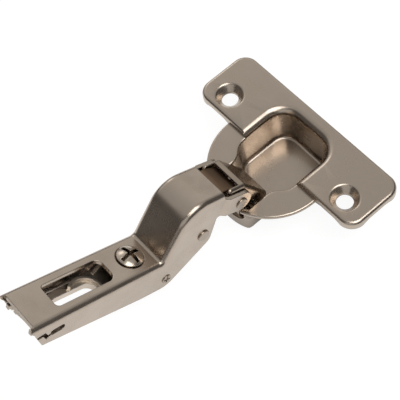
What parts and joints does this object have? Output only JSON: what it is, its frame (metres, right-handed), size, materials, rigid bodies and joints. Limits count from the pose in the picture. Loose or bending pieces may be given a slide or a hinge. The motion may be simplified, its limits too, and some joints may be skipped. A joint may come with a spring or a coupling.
{
  "type": "concealed cabinet hinge",
  "caption": "Concealed cup hinge for an inset cabinet door: pressed steel cup with a screw flange, folding links and a cranked arm with an overlay adjusting screw.",
  "frame": {"origin": "centre of the cup's 35 mm bore on the door's face", "axes": "+X away from the arm, +Y along the screw flange, +Z out of the door"},
  "size_m": [0.1042, 0.065, 0.0375],
  "materials": {
    "nickel_plate": "satin nickel plate",
    "link_plate": "satin nickel plate",
    "insert_plate": "satin nickel plate",
    "pin_plate": "satin nickel plate",
    "screw_plate": "bright nickel plate",
    "spring_steel": "browned spring steel"
  },
  "bodies": {
    "cup": {"cup": "nickel_plate", "cup_front_pin": "pin_plate", "cup_rear_pin": "pin_plate"},
    "inner_link": {"inner_link": "link_plate"},
    "outer_link": {"outer_link": "link_plate"},
    "arm": {"arm": "nickel_plate", "closing_spring": "spring_steel", "front_pivot_pin": "pin_plate", "rear_pivot_pin": "pin_plate", "insert_pin": "pin_plate"},
    "insert": {"adjusting_insert": "insert_plate"},
    "overlay_screw": {"overlay_screw": "screw_plate"}
  },
  "joints": [
    {"name": "door_swing", "type": "hinge", "parent": "cup", "child": "inner_link", "pos_m": [-0.0102, 0, -0.0049], "axis": [0, 1, 0], "range_deg": [-34.06, 83.84]},
    {"name": "arm_fold", "type": "hinge", "parent": "inner_link", "child": "arm", "pos_m": [-0.01685, 0, 0.00733], "axis": [0, 1, 0], "range_deg": [-19.94, 8.16]},
    {"name": "outer_link_swing", "type": "hinge", "parent": "cup", "child": "outer_link", "pos_m": [-0.0145, 0, -0.0033], "axis": [0, 1, 0], "range_deg": [-35.62, 87.52]},
    {"name": "overlay_turn", "type": "hinge", "parent": "arm", "child": "overlay_screw", "pos_m": [-0.0501, 0, 0.01009], "axis": [0.4384, 0, 0.8988], "range_deg": [-57, 142]},
    {"name": "insert_tilt", "type": "hinge", "parent": "arm", "child": "insert", "pos_m": [-0.0449, 0, -0.00068], "axis": [0, 1, 0], "range_deg": [-2.5, 1]}
  ],
  "couplings": [
    {"joint": "arm_fold", "follows": "door_swing", "ratio": -0.23664},
    {"joint": "outer_link_swing", "follows": "door_swing", "ratio": 1.0427},
    {"joint": "insert_tilt", "follows": "overlay_turn", "ratio": -0.016931}
  ]
}
